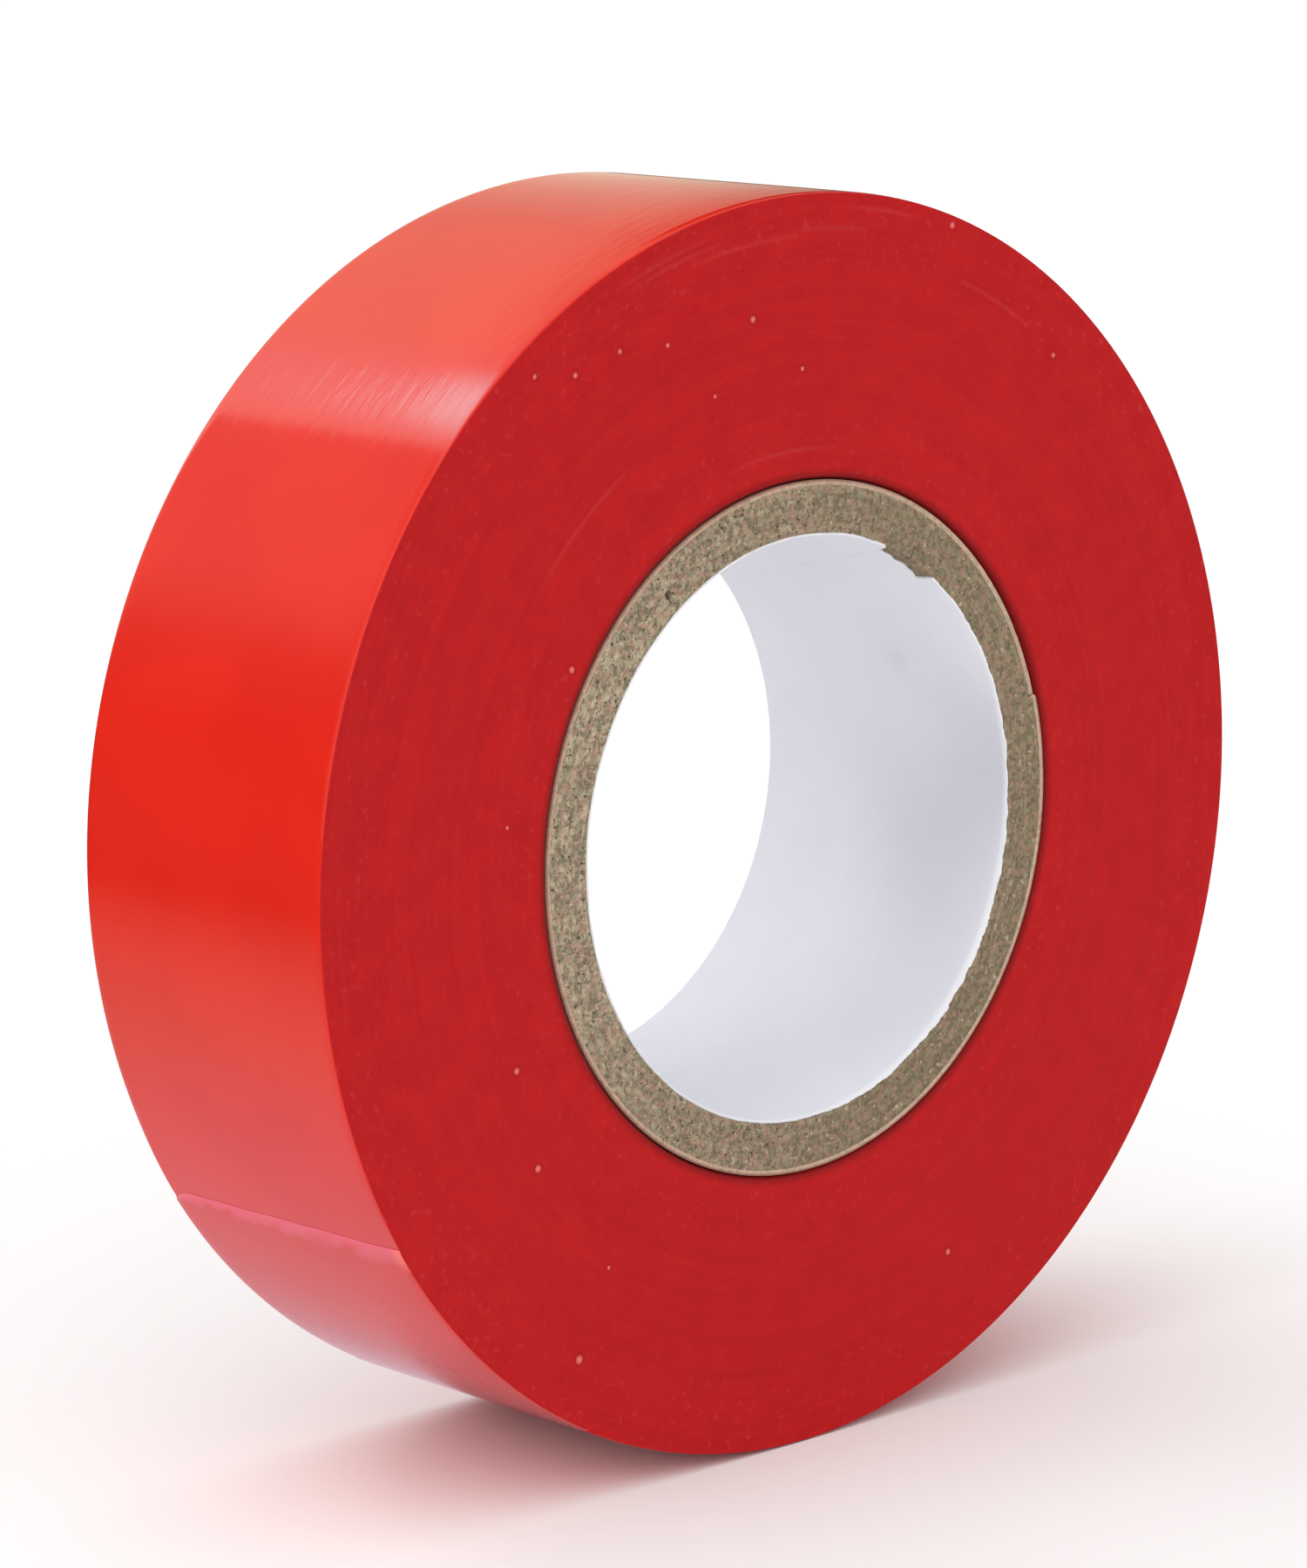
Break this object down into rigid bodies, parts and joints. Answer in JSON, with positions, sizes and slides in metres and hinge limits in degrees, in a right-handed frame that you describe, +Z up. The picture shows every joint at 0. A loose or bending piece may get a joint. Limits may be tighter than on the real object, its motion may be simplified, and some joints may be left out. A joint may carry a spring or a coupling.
{
  "type": "electrical tape roll",
  "caption": "Wound roll of red PVC electrical tape on a laminated paper core, with a free end that peels away from the rim.",
  "frame": {"origin": "middle of the core's bore, halfway across the roll's width", "axes": "+Z up as the roll stands on its rim, +Y along the roll's axis from the front face to the back face, +X across, with the tape's cut end on the -X side"},
  "size_m": [0.0689, 0.019, 0.069],
  "materials": {
    "red_pvc": "satin",
    "chipboard": "matte",
    "tan_paper": "matte",
    "liner_paper": "matte"
  },
  "bodies": {
    "roll": {"core_liner": "liner_paper", "core_ply_1": "chipboard", "core_ply_2": "chipboard", "core_ply_3": "chipboard", "core_ply_4": "chipboard", "core_outer_ply": "tan_paper", "tape_winding": "red_pvc"},
    "tape_end_1": {"tape_end_1": "red_pvc"},
    "tape_end_2": {"tape_end_2": "red_pvc"},
    "tape_end_3": {"tape_end_3": "red_pvc"},
    "tape_end_4": {"tape_end_4": "red_pvc"},
    "tape_end_5": {"tape_end_5": "red_pvc"},
    "tape_end_6": {"tape_end_6": "red_pvc"}
  },
  "joints": [
    {"name": "peel", "type": "hinge", "parent": "roll", "child": "tape_end_1", "pos_m": [-0.01617, 0, -0.03041], "axis": [0, -1, 0], "range_deg": [0, 32]},
    {"name": "peel_bend_1", "type": "hinge", "parent": "tape_end_1", "child": "tape_end_2", "pos_m": [-0.01876, 0, -0.02889], "axis": [0, -1, 0], "range_deg": [0, 8]},
    {"name": "peel_bend_2", "type": "hinge", "parent": "tape_end_2", "child": "tape_end_3", "pos_m": [-0.02121, 0, -0.02714], "axis": [0, -1, 0], "range_deg": [0, 8]},
    {"name": "peel_bend_3", "type": "hinge", "parent": "tape_end_3", "child": "tape_end_4", "pos_m": [-0.02349, 0, -0.02519], "axis": [0, -1, 0], "range_deg": [0, 8]},
    {"name": "peel_bend_4", "type": "hinge", "parent": "tape_end_4", "child": "tape_end_5", "pos_m": [-0.0256, 0, -0.02305], "axis": [0, -1, 0], "range_deg": [0, 8]},
    {"name": "peel_bend_5", "type": "hinge", "parent": "tape_end_5", "child": "tape_end_6", "pos_m": [-0.02751, 0, -0.02073], "axis": [0, -1, 0], "range_deg": [0, 8]}
  ],
  "couplings": [
    {"joint": "peel_bend_1", "follows": "peel", "ratio": 0.25},
    {"joint": "peel_bend_2", "follows": "peel", "ratio": 0.25},
    {"joint": "peel_bend_3", "follows": "peel", "ratio": 0.25},
    {"joint": "peel_bend_4", "follows": "peel", "ratio": 0.25},
    {"joint": "peel_bend_5", "follows": "peel", "ratio": 0.25}
  ]
}
